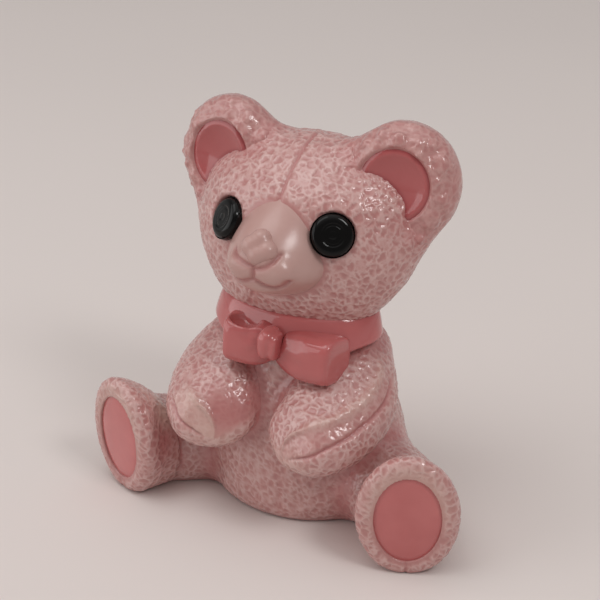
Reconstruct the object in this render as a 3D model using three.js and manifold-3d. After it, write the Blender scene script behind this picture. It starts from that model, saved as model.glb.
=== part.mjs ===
// Seated teddy bear figurine: slip-cast, glazed earthenware.
// Millimetres, +Z up. The bear faces -Y and its left side is +X.
import * as THREE from 'three';
import { mergeVertices } from 'three/addons/utils/BufferGeometryUtils.js';
import Module from 'manifold-3d';

const wasm = await Module();
wasm.setup();

// Fits
const LUTE_GAP = 0.3;
const WALL = 4.5;
const BASE_THICKNESS = 5;
const POUR_HOLE_RADIUS = 20;
const POUR_HOLE_FORWARD = 16;

// Torso
const BELLY_HALF_WIDTH = 41;
const BELLY_FRONT = -50;
const BELLY_BACK = 18;
const NECK_HEIGHT = 83.5;
const NECK_FRONT = -39;
const NECK_BACK = -5;

// Head
const HEAD_HALF_WIDTH = 44.2;
const HEAD_HEIGHT = 59.6;
const FACE_FRONT = -43;
const HEAD_BACK = 17;
const CROWN_Y = -8;
const BROW_SEAM_WIDTH = 1.4;
const BROW_SEAM_DEPTH = 0.8;

// Ears
const EAR_RADIUS = 21;
const EAR_TALL_RADIUS = 22.3;
const EAR_HALF_THICKNESS = 12;
const EAR_CENTRE = new THREE.Vector3(
  0.792 * HEAD_HALF_WIDTH,
  0.2093 * FACE_FRONT,
  NECK_HEIGHT + 0.7802 * HEAD_HEIGHT,
);
const EAR_TURN = 13;
const EAR_LEAN = 8;
const EAR_FLARE = 1.2;
const EAR_ROOT_TURN = 30;
const LINING_RADIUS = 15;
const LINING_SINK = 5;
const LINING_THICKNESS = 1.6;
const LINING_INSET = 3;
const LINING_DROP = -0.6;

// Muzzle and nose
const MUZZLE_HALF_WIDTH = 20.4;
const MUZZLE_WIDEST = NECK_HEIGHT + 0.3775 * HEAD_HEIGHT;
const MUZZLE_RISE = 22;
const MUZZLE_DROP = 15;
const SNOUT_FRONT = -57;
const NOSE_CENTRE = new THREE.Vector3(0, 0.93 * SNOUT_FRONT, MUZZLE_WIDEST + 0.409 * MUZZLE_RISE);
const NOSE_HALF_WIDTH = 6.2;
const MOUTH_RADIUS = 0.85;
const MOUTH_HALF_WIDTH = 12.4;

// Eyes
const EYE_RADIUS = 8;
const EYE_CENTRE = new THREE.Vector3(
  0.493 * HEAD_HALF_WIDTH,
  0.916 * FACE_FRONT,
  NECK_HEIGHT + 0.589 * HEAD_HEIGHT,
);
const EYE_TURN = 32;
const EYE_LIFT = 27;
const EYE_DEPTH = 4.2;
const EYE_DOME = 1.1;
const EYE_RING_RADIUS = 3.8;
const EYE_RING_WIDTH = 1.6;
const EYE_DOT_RADIUS = 1.4;

// Arms
const ARM_HALF_WIDTH = 19.5;
const ARM_HALF_THICKNESS = 14;
const SHOULDER = new THREE.Vector3(0.549 * BELLY_HALF_WIDTH, 0.21 * BELLY_FRONT, 0.7545 * NECK_HEIGHT);
const PAW = new THREE.Vector3(0.3537 * BELLY_HALF_WIDTH, 1.22 * BELLY_FRONT, 0.485 * NECK_HEIGHT);

// Legs and feet
const LEG_HALF_WIDTH = 18;
const LEG_HALF_HEIGHT = 18.5;
const ANKLE_BACK = 24;
const ANKLE_DROP = 10;
const SOLE_HALF_WIDTH = 18.8;
const SOLE_HALF_HEIGHT = 25;
const SOLE_TURN = 22;
const SOLE_LIFT = 0;
const HIP = new THREE.Vector3(0.512 * BELLY_HALF_WIDTH, 0.26 * BELLY_FRONT, 0.676 * LEG_HALF_HEIGHT);
const SOLE_CENTRE = new THREE.Vector3(1.5 * BELLY_HALF_WIDTH, 1.17 * BELLY_FRONT, 0.928 * SOLE_HALF_HEIGHT);
const PAD_HALF_WIDTH = 12;
const PAD_HALF_HEIGHT = 17.4;
const PAD_THICKNESS = 2;
const PAD_SINK = 0.8;

// Ribbon and bow
const RIBBON_HALF_WIDTH = 33.4;
const RIBBON_LOW = 0.8024 * NECK_HEIGHT;
const RIBBON_HIGH = 1.03 * NECK_HEIGHT;
const RIBBON_THICKNESS = 4.5;
const RIBBON_ROLL = 3;
const BOW_LENGTH = 20.5;
const BOW_DEPTH = 10.5;
const BOW_HALF_HEIGHT = 9;
const KNOT_HALF_WIDTH = 5.2;
const KNOT_HALF_DEPTH = 5.5;
const KNOT_HALF_HEIGHT = 6.6;
const KNOT_PROUD = 1.5;
const KNOT_ASIDE = 2.8;
const KNOT_CENTRE = new THREE.Vector3(KNOT_ASIDE, 1.18 * NECK_FRONT, 0.8862 * NECK_HEIGHT);

// Mesh steps round and along each form, and how far a skin may shift as nearly flat facets are joined
const FLATNESS = 0.02;
const ROUND = 24;
const ALONG = 12;
const MUZZLE_ROUND = 22;
const MUZZLE_ALONG = 9;
const MOUTH_ROUND = 6;

// Glazes
const GLAZES = {
  fur: { color: 0xcba8a0, roughness: 0.22 },
  deep_pink: { color: 0xb06466, roughness: 0.18 },
  pale_pink: { color: 0xc8a29c, roughness: 0.16 },
  black: { color: 0x0b0b0c, roughness: 0.08 },
};

const radians = (degrees) => THREE.MathUtils.degToRad(degrees);

// A smooth curve through a list of numbers, read at share t of its length.
function smooth(values, t) {
  const place = t * (values.length - 1);
  const i = Math.min(Math.floor(place), values.length - 2);
  const at = (k) => values[THREE.MathUtils.clamp(k, 0, values.length - 1)];
  const f = place - i;
  const [a, b, c, d] = [at(i - 1), at(i), at(i + 1), at(i + 2)];
  return b + 0.5 * f * (c - a + f * (2 * a - 5 * b + 4 * c - d + f * (3 * (b - c) + d - a)));
}

// A closed skin through rings of points, with a single point closing each end.
function loft(firstPole, rings, lastPole) {
  const count = rings[0].length;
  const points = [firstPole, ...rings.flat(), lastPole];
  const faces = [];
  const last = points.length - 1;
  const at = (ring, k) => 1 + ring * count + (k % count);
  for (let k = 0; k < count; k += 1) {
    faces.push(0, at(0, k + 1), at(0, k));
    faces.push(last, at(rings.length - 1, k), at(rings.length - 1, k + 1));
    for (let ring = 0; ring + 1 < rings.length; ring += 1) {
      const [a, b] = [at(ring, k), at(ring, k + 1)];
      const [c, d] = [at(ring + 1, k), at(ring + 1, k + 1)];
      faces.push(a, b, c, b, d, c);
    }
  }
  const geometry = new THREE.BufferGeometry().setFromPoints(points);
  geometry.setIndex(faces);
  return geometry;
}

// The form moved outward (or inward) along its own normals, as a solid.
function solid(geometry, grow = 0) {
  const bare = geometry.clone();
  bare.deleteAttribute('normal');
  bare.deleteAttribute('uv');
  const merged = mergeVertices(bare, 1e-4);
  if (grow !== 0) {
    merged.computeVertexNormals();
    const { position, normal } = merged.attributes;
    for (let i = 0; i < position.count; i += 1) {
      position.setXYZ(
        i,
        position.getX(i) + grow * normal.getX(i),
        position.getY(i) + grow * normal.getY(i),
        position.getZ(i) + grow * normal.getZ(i),
      );
    }
    merged.deleteAttribute('normal');
  }
  const mesh = new wasm.Mesh({
    numProp: 3,
    vertProperties: new Float32Array(merged.attributes.position.array),
    triVerts: new Uint32Array(merged.index.array),
  });
  return new wasm.Manifold(mesh);
}

function geometryOf(body) {
  const mesh = body.simplify(FLATNESS).getMesh();
  const geometry = new THREE.BufferGeometry();
  geometry.setAttribute('position', new THREE.BufferAttribute(new Float32Array(mesh.vertProperties), 3));
  geometry.setIndex([...mesh.triVerts]);
  geometry.computeVertexNormals();
  return geometry;
}

function box(low, high) {
  const size = new THREE.Vector3().subVectors(high, low);
  const middle = new THREE.Vector3().addVectors(low, high).multiplyScalar(0.5);
  return solid(new THREE.BoxGeometry(size.x, size.y, size.z).translate(middle.x, middle.y, middle.z));
}

// Half spaces large enough for the whole figure.
const REACH = 400;
const below = (z) => box(new THREE.Vector3(-REACH, -REACH, -REACH), new THREE.Vector3(REACH, REACH, z));
const above = (z) => box(new THREE.Vector3(-REACH, -REACH, z), new THREE.Vector3(REACH, REACH, REACH));

// The rest of one piece after a clearance is taken round each form it touches.
const trim = (body, ...others) => others.reduce((rest, other) => rest.subtract(other), body);

// The one largest lump of a trimmed piece, without slivers.
function largest(body) {
  const lumps = body.decompose();
  return lumps.reduce((best, lump) => (lump.volume() > best.volume() ? lump : best));
}

// A turn about the upright axis, then a lift of the face toward the sky; the face looks along -Y.
function facing(turn, lift) {
  const spin = new THREE.Matrix4().makeRotationZ(radians(turn));
  return spin.multiply(new THREE.Matrix4().makeRotationX(radians(-lift)));
}

function placed(geometry, centre, turn, lift) {
  return geometry.applyMatrix4(facing(turn, lift)).translate(centre.x, centre.y, centre.z);
}

// Stacked level rings: each has a height, half width, front and back. A crown closes the top.
function stack(levels, crown) {
  const poleOf = ([z, , front, back]) => new THREE.Vector3(0, (front + back) / 2, z);
  const rings = [];
  for (let step = 0; step <= ALONG; step += 1) {
    const t = step / ALONG;
    const [z, half, front, back] = [0, 1, 2, 3].map((column) => smooth(levels.map((row) => row[column]), t));
    const middle = (front + back) / 2;
    const ring = [];
    for (let k = 0; k < ROUND; k += 1) {
      const angle = (2 * Math.PI * k) / ROUND;
      const along = middle + ((back - front) / 2) * Math.sin(angle);
      ring.push(new THREE.Vector3(half * Math.cos(angle), along, z));
    }
    rings.push(ring);
  }
  return loft(poleOf(levels[0]), rings, crown ?? poleOf(levels[levels.length - 1]));
}

// Oval rings strung along a bending path: each has a centre, half width, half height and roll.
// Upright rings stand square to the floor however the path climbs.
function limb(stations, { round = ROUND, along = ALONG, exponent = 1, upright = false } = {}) {
  const read = (column, t) => smooth(stations.map(column), t);
  const centreAt = (t) => new THREE.Vector3(
    read((row) => row.centre.x, t),
    read((row) => row.centre.y, t),
    read((row) => row.centre.z, t),
  );
  const rings = [];
  for (let step = 0; step <= along; step += 1) {
    const t = step / along;
    const centre = centreAt(t);
    const ahead = centreAt(Math.min(t + 0.05, 1)).sub(centreAt(Math.max(t - 0.05, 0)));
    if (upright) ahead.z = 0;
    ahead.normalize();
    const roll = radians(read((row) => row.roll ?? 0, t));
    const side = new THREE.Vector3(-ahead.y, ahead.x, 0).normalize().applyAxisAngle(ahead, roll);
    const rise = new THREE.Vector3().crossVectors(ahead, side);
    const half = read((row) => row.half, t);
    const tall = read((row) => row.tall, t);
    const ring = [];
    for (let k = 0; k < round; k += 1) {
      const angle = (2 * Math.PI * k) / round;
      const [c, s] = [Math.cos(angle), Math.sin(angle)];
      const across = half * Math.sign(c) * Math.abs(c) ** exponent;
      const up = tall * Math.sign(s) * Math.abs(s) ** exponent;
      ring.push(centre.clone().addScaledVector(side, across).addScaledVector(rise, up));
    }
    rings.push(ring);
  }
  return loft(stations[0].centre, rings, stations[stations.length - 1].centre);
}

// Torso form: pear-shaped, tucked in under the base and at the neck.
const torsoLevel = (rise, half, front, back) => [rise * NECK_HEIGHT, half * BELLY_HALF_WIDTH, front, back];
const torsoLevels = [
  torsoLevel(-0.144, 0.5, 0.6 * BELLY_FRONT, 0.2 * BELLY_BACK),
  torsoLevel(0, 0.88, 0.96 * BELLY_FRONT, 0.78 * BELLY_BACK),
  torsoLevel(0.144, 1, 1.01 * BELLY_FRONT, 0.98 * BELLY_BACK),
  torsoLevel(0.311, 0.98, BELLY_FRONT, BELLY_BACK),
  torsoLevel(0.503, 0.87, 0.95 * BELLY_FRONT, 0.82 * BELLY_BACK),
  torsoLevel(0.695, 0.79, 0.86 * BELLY_FRONT, 0.55 * BELLY_BACK),
  torsoLevel(0.862, 0.72, 1.02 * NECK_FRONT, 0.2 * BELLY_BACK),
  torsoLevel(1, 0.66, NECK_FRONT, NECK_BACK),
  torsoLevel(1.096, 0.66, NECK_FRONT, NECK_BACK),
];
const torsoForm = stack(torsoLevels);

// Head form: broad low cheeks under a brow that slopes back to the crown.
const headLevel = (rise, half, front, back) =>
  [NECK_HEIGHT + rise * HEAD_HEIGHT, half * HEAD_HALF_WIDTH, front * FACE_FRONT, back];
const headLevels = [
  headLevel(-0.103, 0.5, 0.8, 1.8 * NECK_BACK),
  headLevel(0, 0.72, 0.93, 0.4 * NECK_BACK),
  headLevel(0.181, 0.91, 1, 0.6 * HEAD_BACK),
  headLevel(0.388, 1, 1.02, HEAD_BACK),
  headLevel(0.578, 0.97, 0.97, HEAD_BACK),
  headLevel(0.75, 0.86, 0.86, 0.8 * HEAD_BACK),
  headLevel(0.888, 0.64, 0.62, 0.4 * HEAD_BACK),
  headLevel(0.974, 0.34, 0.4, -0.05 * HEAD_BACK),
];
const headForm = stack(headLevels, new THREE.Vector3(0, CROWN_Y, NECK_HEIGHT + HEAD_HEIGHT));

function torso() {
  const drill = new THREE.CylinderGeometry(POUR_HOLE_RADIUS, POUR_HOLE_RADIUS, 4 * BASE_THICKNESS, 32);
  const pourHole = solid(drill.rotateX(Math.PI / 2).translate(0, -POUR_HOLE_FORWARD, 0));
  const cavity = trim(solid(torsoForm, -WALL), below(BASE_THICKNESS));
  return trim(solid(torsoForm), below(0), above(NECK_HEIGHT - LUTE_GAP), cavity, pourHole);
}

// Brow seam: a shallow groove up the middle of the forehead and over the crown.
function browSeam() {
  const half = BROW_SEAM_WIDTH / 2;
  const slice = box(
    new THREE.Vector3(-half, 2 * FACE_FRONT, MUZZLE_WIDEST + 0.8 * MUZZLE_RISE),
    new THREE.Vector3(half, CROWN_Y, 2 * HEAD_HEIGHT + NECK_HEIGHT),
  );
  return trim(slice, solid(headForm, -BROW_SEAM_DEPTH));
}

function head() {
  const neckBore = solid(torsoForm, -WALL).intersect(above(NECK_HEIGHT - WALL));
  const bore = solid(headForm, -WALL).add(neckBore);
  return largest(trim(solid(headForm), bore, below(NECK_HEIGHT), browSeam(), eyesClear));
}

// Mirror a left-hand solid to make the right-hand one.
const mirrored = (body) => body.mirror([1, 0, 0]);

// Ear: a thick round-rimmed disc set into the side of the head, with a dished front.
function earDisc() {
  const profile = [];
  const steps = 12;
  for (let k = 0; k <= steps; k += 1) {
    const angle = -Math.PI / 2 + (Math.PI * k) / steps;
    const [c, s] = [Math.cos(angle), Math.sin(angle)];
    profile.push(new THREE.Vector2(
      k === 0 || k === steps ? 0 : EAR_RADIUS * c ** 0.7,
      EAR_HALF_THICKNESS * Math.sign(s) * Math.abs(s) ** 0.9,
    ));
  }
  const disc = new THREE.LatheGeometry(profile, 28).scale(1, 1, EAR_TALL_RADIUS / EAR_RADIUS);
  return placed(disc, EAR_CENTRE, EAR_TURN, EAR_LEAN);
}

function dish(push) {
  const bowl = new THREE.SphereGeometry(1, 20, 8);
  bowl.scale(LINING_RADIUS, 1.2 * LINING_SINK, LINING_RADIUS);
  bowl.translate(-LINING_INSET, -EAR_HALF_THICKNESS - push, -LINING_DROP);
  return placed(bowl, EAR_CENTRE, EAR_TURN, EAR_LEAN);
}

// Flare: the swelling by which an ear runs into the head.
function earFlare() {
  const egg = new THREE.SphereGeometry(1, 18, 11);
  egg.scale(0.65 * EAR_RADIUS, EAR_HALF_THICKNESS, EAR_RADIUS + EAR_FLARE);
  egg.translate(-0.25 * EAR_RADIUS, 0, 0).rotateY(radians(-EAR_ROOT_TURN));
  return placed(egg, EAR_CENTRE, EAR_TURN, EAR_LEAN);
}

function ear() {
  const whole = solid(earDisc()).add(solid(earFlare()));
  return largest(trim(whole, solid(dish(0)), solid(headForm, LUTE_GAP)));
}

function earLining() {
  const inlay = trim(solid(dish(0), -LUTE_GAP), solid(dish(LINING_THICKNESS)));
  return largest(trim(inlay.intersect(solid(earDisc(), -LUTE_GAP)), solid(headForm, LUTE_GAP)));
}

// Muzzle: egg-shaped rings marching out from the face to the snout.
// Each row is shares of the snout's reach, the half width, the rise above and the drop below.
const muzzleForm = (() => {
  const rows = [
    [0.42, 1.02, 1.18, 1.13],
    [0.614, 1, 1, 1],
    [0.754, 0.9, 0.82, 0.87],
    [0.877, 0.7, 0.59, 0.667],
    [0.965, 0.46, 0.364, 0.467],
    [1, 0.2, 0.18, 0.2],
  ];
  const rings = [];
  for (let step = 0; step <= MUZZLE_ALONG; step += 1) {
    const t = step / MUZZLE_ALONG;
    const [out, half, rise, drop] = [0, 1, 2, 3].map((column) => smooth(rows.map((row) => row[column]), t));
    const ring = [];
    for (let k = 0; k < MUZZLE_ROUND; k += 1) {
      const angle = (2 * Math.PI * k) / MUZZLE_ROUND;
      const [c, s] = [Math.cos(angle), Math.sin(angle)];
      const up = s > 0 ? rise * MUZZLE_RISE * s ** 1.5 : drop * MUZZLE_DROP * s;
      ring.push(new THREE.Vector3(half * MUZZLE_HALF_WIDTH * c, out * SNOUT_FRONT, MUZZLE_WIDEST + up));
    }
    rings.push(ring);
  }
  const pole = (out) => new THREE.Vector3(0, out * SNOUT_FRONT, MUZZLE_WIDEST);
  return loft(pole(0.42), rings, pole(1.005));
})();

// Mouth: a groove down from the nose, parting into two curls of a smile.
// Each spot is a share of the mouth's half width across, and of the muzzle's drop below its widest level.
function mouthGroove(spots) {
  const surface = new THREE.Mesh(muzzleForm, new THREE.MeshBasicMaterial({ side: THREE.DoubleSide }));
  const inward = new THREE.Vector3(0, 1, 0);
  const stations = spots.map(([across, down]) => {
    const height = MUZZLE_WIDEST - down * MUZZLE_DROP;
    const start = new THREE.Vector3(across * MOUTH_HALF_WIDTH, 2 * SNOUT_FRONT, height);
    const [touch] = new THREE.Raycaster(start, inward).intersectObject(surface);
    return { centre: touch.point, half: MOUTH_RADIUS, tall: MOUTH_RADIUS };
  });
  return solid(limb(stations, { round: MOUTH_ROUND, along: spots.length + 1 }));
}

function mouth() {
  const curl = [[0.25, 0.12], [0.6, 0.22], [0.85, 0.14], [1, -0.01]];
  const opposite = curl.map(([across, down]) => [-across, down]).reverse();
  const smile = mouthGroove([...opposite, [0, 0.07], ...curl]);
  const parting = mouthGroove([[0.02, -0.4], [0.02, -0.15], [0.02, 0.12]]);
  return parting.add(smile);
}

function muzzle() {
  return largest(trim(solid(muzzleForm), headClear, eyesClear, noseForm(LUTE_GAP), mouth()));
}

// Nose: two upper lobes and one lower lobe.
const noseForm = (grow) => {
  const lobe = 0.62 * NOSE_HALF_WIDTH;
  const ball = ({ x, y, z }) => new THREE.SphereGeometry(lobe, 12, 8).translate(x, y, z);
  const offset = NOSE_HALF_WIDTH - lobe;
  const spots = [
    new THREE.Vector3(-offset, 0, 0.25 * NOSE_HALF_WIDTH),
    new THREE.Vector3(offset, 0, 0.25 * NOSE_HALF_WIDTH),
    new THREE.Vector3(0, -0.15 * NOSE_HALF_WIDTH, -0.35 * NOSE_HALF_WIDTH),
  ];
  const lobes = spots.map((spot) => solid(ball(spot.add(NOSE_CENTRE)), grow));
  return lobes.reduce((whole, next) => whole.add(next));
};

// Eye: a domed button with a ring groove and a centre dot.
function eyeButton() {
  const profile = [
    [0, -EYE_DEPTH],
    [0.9 * EYE_RADIUS, -EYE_DEPTH],
    [EYE_RADIUS, -0.8 * EYE_DEPTH],
    [EYE_RADIUS, -0.3 * EYE_DEPTH],
    [0.93 * EYE_RADIUS, -0.8 * EYE_DOME],
    [0.8 * EYE_RADIUS, 0.1 * EYE_DOME],
    [EYE_RING_RADIUS + 0.5 * EYE_RING_WIDTH, 0.75 * EYE_DOME],
    [EYE_RING_RADIUS + 0.2 * EYE_RING_WIDTH, 0.3 * EYE_DOME],
    [EYE_RING_RADIUS - 0.2 * EYE_RING_WIDTH, 0.3 * EYE_DOME],
    [EYE_RING_RADIUS - 0.5 * EYE_RING_WIDTH, 0.9 * EYE_DOME],
    [EYE_DOT_RADIUS, EYE_DOME],
    [0.7 * EYE_DOT_RADIUS, 0.65 * EYE_DOME],
    [0, 0.65 * EYE_DOME],
  ].map(([r, h]) => new THREE.Vector2(r, h));
  const button = new THREE.LatheGeometry(profile, 20).rotateX(Math.PI);
  return placed(button, EYE_CENTRE, EYE_TURN, EYE_LIFT);
}

// Arm: a broad mitten from the shoulder across the chest to a blunt paw, rolled so its outer edge hangs low.
const outward = new THREE.Vector3(1, 0, 0);
const reach = (share, out) =>
  SHOULDER.clone().lerp(PAW, share).addScaledVector(outward, out * ARM_HALF_WIDTH);
const armStation = (share, out, half, tall, roll) =>
  ({ centre: reach(share, out), half: half * ARM_HALF_WIDTH, tall: tall * ARM_HALF_THICKNESS, roll });
const armForm = limb([
  armStation(0, 0, 0.5, 0.65, 0),
  armStation(0.22, 0.17, 0.76, 0.98, -10),
  armStation(0.47, 0.36, 0.98, 1, -18),
  armStation(0.72, 0.34, 0.98, 0.95, -18),
  armStation(0.92, 0.14, 0.78, 0.82, -12),
  armStation(1.07, 0, 0.4, 0.48, -8),
]);

function arm() {
  return largest(trim(solid(armForm), torsoClear, ribbonClear, loopsClear, mirrored(loopsClear)));
}

// Leg: from the hip along the floor to an upright sole.
const soleOut = new THREE.Vector3(0, -1, 0).applyMatrix4(facing(SOLE_TURN, SOLE_LIFT));
const downward = new THREE.Vector3(0, 0, -1);
const ankleSpot = (back, drop) => {
  const spot = SOLE_CENTRE.clone().addScaledVector(soleOut, -back * ANKLE_BACK);
  return spot.addScaledVector(downward, drop * ANKLE_DROP);
};
const ankle = ankleSpot(1, 1);
const legForm = limb([
  { centre: HIP, half: 0.945 * LEG_HALF_WIDTH, tall: 0.945 * LEG_HALF_HEIGHT },
  { centre: HIP.clone().lerp(ankle, 0.5), half: LEG_HALF_WIDTH, tall: LEG_HALF_HEIGHT },
  { centre: ankle, half: 0.97 * LEG_HALF_WIDTH, tall: LEG_HALF_HEIGHT },
  { centre: ankleSpot(0.5, 0.35), half: 0.94 * SOLE_HALF_WIDTH, tall: 0.92 * SOLE_HALF_HEIGHT },
  { centre: ankleSpot(0.125, 0), half: SOLE_HALF_WIDTH, tall: SOLE_HALF_HEIGHT },
  { centre: SOLE_CENTRE, half: 0.84 * SOLE_HALF_WIDTH, tall: 0.88 * SOLE_HALF_HEIGHT },
], { upright: true });

// An oval plug square to the sole, from one depth behind it to another.
function solePlug(halfWidth, halfHeight, near, far) {
  const oval = new THREE.CylinderGeometry(1, 1, 1, 36);
  oval.scale(halfWidth, far - near, halfHeight).translate(0, (near + far) / 2, 0);
  return placed(oval, SOLE_CENTRE, SOLE_TURN, SOLE_LIFT);
}

// Pad: an oval cushion sunk into the sole, and the pocket that it is set in.
const padForm = solePlug(PAD_HALF_WIDTH, PAD_HALF_HEIGHT, PAD_SINK, PAD_SINK + PAD_THICKNESS);
const padPocket = solePlug(
  PAD_HALF_WIDTH + LUTE_GAP,
  PAD_HALF_HEIGHT + LUTE_GAP,
  -SOLE_HALF_WIDTH,
  PAD_SINK + PAD_THICKNESS + LUTE_GAP,
);

// Ribbon: a soft band round the neck, under the chin and over the shoulders.
const ribbonForm = (() => {
  const middle = (NECK_FRONT + NECK_BACK) / 2;
  const depth = (NECK_BACK - NECK_FRONT) / 2 + RIBBON_THICKNESS;
  const level = (z, share, lean) => {
    const centre = middle - lean * RIBBON_THICKNESS;
    return [z, share * RIBBON_HALF_WIDTH, centre - share * depth, centre + share * depth];
  };
  return stack([
    level(RIBBON_LOW, 0.98, 0.33),
    level(RIBBON_LOW + RIBBON_ROLL, 1.03, 0.33),
    level((RIBBON_LOW + RIBBON_HIGH) / 2, 1, 0.22),
    level(RIBBON_HIGH - RIBBON_ROLL, 0.95, 0),
    level(RIBBON_HIGH, 0.88, 0),
  ]);
})();

// Bow loop: a boxy wedge that widens and drops away from the knot to a flat end.
const loopStation = (out, back, drop, deep, tall) => {
  const fromKnot = new THREE.Vector3(out, back, -drop).multiplyScalar(BOW_LENGTH);
  return {
    centre: fromKnot.add(KNOT_CENTRE),
    half: deep * BOW_DEPTH,
    tall: tall * BOW_HALF_HEIGHT,
  };
};
const loopForm = limb([
  loopStation(0.05, 0.04, 0, 0.36, 0.6),
  loopStation(0.35, 0.03, 0.02, 0.52, 0.78),
  loopStation(0.68, 0.07, 0.08, 0.64, 0.92),
  loopStation(0.93, 0.12, 0.14, 0.68, 1),
  loopStation(1.04, 0.15, 0.16, 0.6, 0.94),
], { round: 18, along: 8, exponent: 0.6 });

// The bow sits a little to the bear's left, so its second loop is mirrored about the knot.
const acrossKnot = (body) => mirrored(body).translate([2 * KNOT_ASIDE, 0, 0]);

const bowLoop = (whole) => largest(trim(whole, ribbonClear, knotClear, torsoClear));

const knotForm = new THREE.SphereGeometry(1, 18, 12).scale(KNOT_HALF_WIDTH, KNOT_HALF_DEPTH, KNOT_HALF_HEIGHT)
  .translate(KNOT_CENTRE.x, KNOT_CENTRE.y - KNOT_PROUD, KNOT_CENTRE.z);

function bothSides(name, body, glaze) {
  piece(`left_${name}`, body, glaze);
  piece(`right_${name}`, mirrored(body), glaze);
}

const bear = new THREE.Group();
bear.name = 'seated_bear_figurine';

function piece(name, body, glaze) {
  const { color, roughness } = GLAZES[glaze];
  const material = new THREE.MeshStandardMaterial({ color, roughness, metalness: 0 });
  material.name = `${glaze}_glaze`;
  const mesh = new THREE.Mesh(geometryOf(body), material);
  mesh.name = name;
  bear.add(mesh);
}

// Forms with the lute gap taken round them.
const torsoClear = solid(torsoForm, LUTE_GAP);
const headClear = trim(solid(headForm, LUTE_GAP), below(NECK_HEIGHT - LUTE_GAP));
const armClear = solid(armForm, LUTE_GAP);
const armsClear = armClear.add(mirrored(armClear));
const ribbonClear = solid(ribbonForm, LUTE_GAP);
const knotClear = solid(knotForm, LUTE_GAP);
const loopClear = solid(loopForm, LUTE_GAP);
const loopsClear = loopClear.add(acrossKnot(loopClear));
const eyeClear = solid(eyeButton(), LUTE_GAP);
const eyesClear = eyeClear.add(mirrored(eyeClear));

piece('torso', torso(), 'fur');
piece('head', head(), 'fur');
bothSides('ear', ear(), 'fur');
bothSides('ear_lining', earLining(), 'deep_pink');
piece('muzzle', muzzle(), 'pale_pink');
piece('nose', largest(trim(noseForm(0), headClear)), 'pale_pink');
bothSides('eye', solid(eyeButton()), 'black');
bothSides('arm', arm(), 'fur');
bothSides('leg', largest(trim(solid(legForm), torsoClear, armsClear, below(0), solid(padPocket))), 'fur');
bothSides('foot_pad', solid(padForm), 'deep_pink');
piece('neck_ribbon', largest(trim(solid(ribbonForm), torsoClear, headClear)), 'deep_pink');
piece('left_bow_loop', bowLoop(solid(loopForm)), 'deep_pink');
piece('right_bow_loop', bowLoop(acrossKnot(solid(loopForm))), 'deep_pink');
piece('bow_knot', largest(trim(solid(knotForm), ribbonClear)), 'deep_pink');

// The origin sits under the middle of the figure.
const bounds = new THREE.Box3().setFromObject(bear);
bear.position.set(0, -(bounds.min.y + bounds.max.y) / 2, 0);

export default bear;
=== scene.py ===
import math

import bpy
import numpy as np
import openvdb
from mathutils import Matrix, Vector


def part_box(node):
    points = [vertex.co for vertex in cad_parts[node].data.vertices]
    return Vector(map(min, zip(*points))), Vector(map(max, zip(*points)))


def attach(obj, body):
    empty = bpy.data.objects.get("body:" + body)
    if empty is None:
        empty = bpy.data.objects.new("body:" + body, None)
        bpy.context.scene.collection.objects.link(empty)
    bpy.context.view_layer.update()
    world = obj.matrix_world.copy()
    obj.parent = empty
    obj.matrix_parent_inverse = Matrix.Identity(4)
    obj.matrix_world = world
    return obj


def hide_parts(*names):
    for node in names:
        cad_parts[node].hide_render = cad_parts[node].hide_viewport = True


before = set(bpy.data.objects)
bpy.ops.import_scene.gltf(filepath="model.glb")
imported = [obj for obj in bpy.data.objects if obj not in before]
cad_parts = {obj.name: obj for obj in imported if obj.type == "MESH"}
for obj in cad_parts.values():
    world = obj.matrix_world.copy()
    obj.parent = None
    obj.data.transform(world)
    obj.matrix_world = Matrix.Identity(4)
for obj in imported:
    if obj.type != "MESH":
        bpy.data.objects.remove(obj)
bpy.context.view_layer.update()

# Sizes are millimetres. The bear faces -Y, its left side is +X, and it stands on Z = 0.
MM = 0.001
MIRROR = np.array((-1.0, 1.0, 1.0))

# Cells of the distance fields, how far they reach from a skin, and points round and along a loft
TORSO_CELL = 0.69
HEAD_CELL = 0.52
FINE_CELL = 0.5
BAND = 12.0
ROUND = 120
ALONG = 90

# Torso
BELLY_HALF_WIDTH = 41.0
BELLY_FRONT = -50.0
BELLY_BACK = 18.0
NECK_HEIGHT = 83.5
NECK_FRONT = -39.0
NECK_BACK = -5.0
POUR_HOLE_RADIUS = 20.0
POUR_HOLE_FORWARD = 16.0
HOLLOW_HALF = (27.0, 22.0, 30.0)
HOLLOW_HEIGHT = 34.0

# Head
HEAD_HALF_WIDTH = 44.2
HEAD_HEIGHT = 59.6
FACE_FRONT = -43.0
HEAD_BACK = 17.0
CROWN_Y = -8.0
BROW_SEAM_DEPTH = 0.7
BROW_SEAM_WIDTH = 0.7
BROW_SEAM_LOW = (124.0, 127.0)
BROW_SEAM_BACK = (2.0, 9.0)

# Ears
EAR_RADIUS = 21.0
EAR_TALL_RADIUS = 22.3
EAR_HALF_THICKNESS = 12.0
EAR_CENTRE = np.array((35.0, -9.0, NECK_HEIGHT + 46.5))
EAR_TURN = 13.0
EAR_LEAN = 8.0
LINING_RADIUS = 15.0
LINING_SINK = 6.0
LINING_THICKNESS = 1.6
LINING_INSET = 3.0
LINING_DROP = -0.6
LINING_STEP = 1.3
LINING_TUCK = 0.5
LINING_SEAT = 1.0
EAR_CREASE_WIDTH = 7.0
EAR_FUR_SHARE = 0.55
EAR_LUMP_SIZE = 5.5
EAR_LUMP_HEIGHT = 2.0
EAR_LUMP_WIDTH = 0.8
EAR_LUMP_MIDDLE = 0.4

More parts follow.
